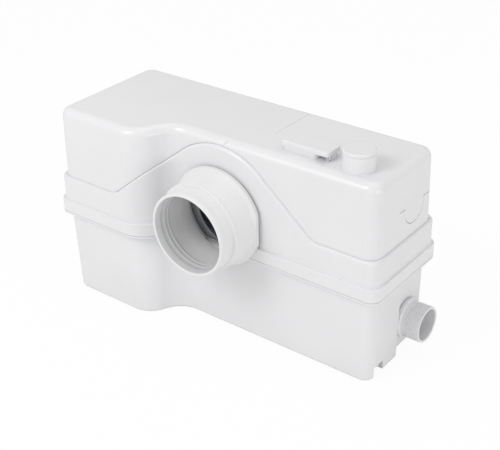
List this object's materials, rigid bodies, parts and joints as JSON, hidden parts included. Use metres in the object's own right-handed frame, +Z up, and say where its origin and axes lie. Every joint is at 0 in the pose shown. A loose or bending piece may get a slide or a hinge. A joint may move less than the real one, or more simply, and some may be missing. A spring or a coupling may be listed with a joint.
{
  "type": "sewage lifting station",
  "caption": "White floor-standing macerator pump box for a toilet: bulged two-part shell, round front inlet sleeve under an arched hood, threaded side inlet, vent and filter hatch on top.",
  "frame": {"origin": "middle of the footprint's long rectangle, on the floor under the middle foot pad", "axes": "+Z up, -Y towards the toilet inlet, +X towards the end with the side inlet"},
  "size_m": [0.5115, 0.2269, 0.313],
  "materials": {
    "white_shell": "gloss",
    "white_port": "gloss",
    "white_sleeve": "satin",
    "grey_rubber": "satin",
    "black_rubber": "matte",
    "steel": "satin",
    "blade_steel": "brushed",
    "core_steel": "matte",
    "copper": "satin",
    "motor_grey": "satin",
    "dark_plastic": "matte",
    "inner_plastic": "satin",
    "capacitor_can": "gloss",
    "charcoal": "matte"
  },
  "bodies": {
    "station": {"capacitor": "capacitor_can", "check_flap_pin": "steel", "check_valve": "inner_plastic", "control_box": "inner_plastic", "control_lid": "inner_plastic", "discharge_line": "inner_plastic", "discharge_riser": "inner_plastic", "discharge_spigot": "inner_plastic", "inlet_backing_ring": "white_sleeve", "inlet_chute": "inner_plastic", "inlet_lip_seal": "grey_rubber", "inlet_sleeve": "white_sleeve", "lever_pin": "steel", "lower_bearing": "steel", "macerator_basket": "inner_plastic", "micro_switch": "dark_plastic", "motor_cap": "motor_grey", "motor_housing": "motor_grey", "motor_screws": "steel", "pressure_bell": "inner_plastic", "pressure_switch": "dark_plastic", "pump_housing": "inner_plastic", "rim_screws": "steel", "riser_grommet": "black_rubber", "rubber_feet": "black_rubber", "shaft_seal": "black_rubber", "side_port": "white_port", "side_port_bracket": "inner_plastic", "side_port_flap_pin": "steel", "side_port_nut": "white_port", "side_port_seal": "grey_rubber", "stator_core": "core_steel", "stator_windings": "copper", "switch_bracket": "inner_plastic", "tank": "white_shell", "tank_cover": "white_shell", "tank_gasket": "black_rubber", "terminal_block": "dark_plastic", "upper_bearing": "steel"},
    "hood": {"hood": "white_shell", "filter_lid_pin": "steel", "cable_gland": "dark_plastic", "gland_nut": "dark_plastic", "vent_filter": "charcoal", "carbon_filter": "charcoal"},
    "discharge_panel": {"discharge_panel": "white_shell"},
    "vent_cap": {"vent_cap": "white_shell"},
    "filter_lid": {"filter_lid": "white_shell"},
    "rotor": {"motor_shaft": "steel", "rotor_core": "core_steel", "cutter_blade": "blade_steel", "impeller": "inner_plastic"},
    "side_port_flap": {"side_port_flap": "inner_plastic"},
    "check_flap": {"check_flap": "inner_plastic"},
    "switch_plunger": {"switch_plunger": "dark_plastic"},
    "switch_lever": {"switch_lever": "inner_plastic"}
  },
  "joints": [
    {"name": "hood_lift", "type": "slide", "parent": "station", "child": "hood", "axis": [0, 0, 1], "range_m": [0, 0.12]},
    {"name": "discharge_panel_lift", "type": "slide", "parent": "hood", "child": "discharge_panel", "axis": [0, 0, 1], "range_m": [0, 0.06]},
    {"name": "vent_cap_lift", "type": "slide", "parent": "hood", "child": "vent_cap", "axis": [0, 0, 1], "range_m": [0, 0.03]},
    {"name": "filter_lid_hinge", "type": "hinge", "parent": "hood", "child": "filter_lid", "pos_m": [0.152, -0.0355, 0.2905], "axis": [0, 1, 0], "range_deg": [0, 65]},
    {"name": "rotor_spin", "type": "hinge", "parent": "station", "child": "rotor", "pos_m": [-0.165, -0.038, 0.15], "axis": [0, 0, 1], "continuous": true},
    {"name": "side_port_flap_hinge", "type": "hinge", "parent": "station", "child": "side_port_flap", "pos_m": [0.2167, 0.029, 0.0845], "axis": [0, 1, 0], "range_deg": [0, 55]},
    {"name": "check_flap_hinge", "type": "hinge", "parent": "station", "child": "check_flap", "pos_m": [0.1553, 0.026, 0.238], "axis": [0, -1, 0], "range_deg": [0, 45]},
    {"name": "switch_plunger_slide", "type": "slide", "parent": "station", "child": "switch_plunger", "axis": [0, 0, 1], "range_m": [0, 0.002], "stiffness_N_per_m": 200},
    {"name": "switch_lever_hinge", "type": "hinge", "parent": "station", "child": "switch_lever", "pos_m": [0.08, -0.028, 0.2203], "axis": [0, -1, 0], "range_deg": [0, 4.1]}
  ],
  "couplings": [
    {"joint": "switch_lever_hinge", "follows": "switch_plunger_slide", "rad_per_m": 35.714}
  ]
}
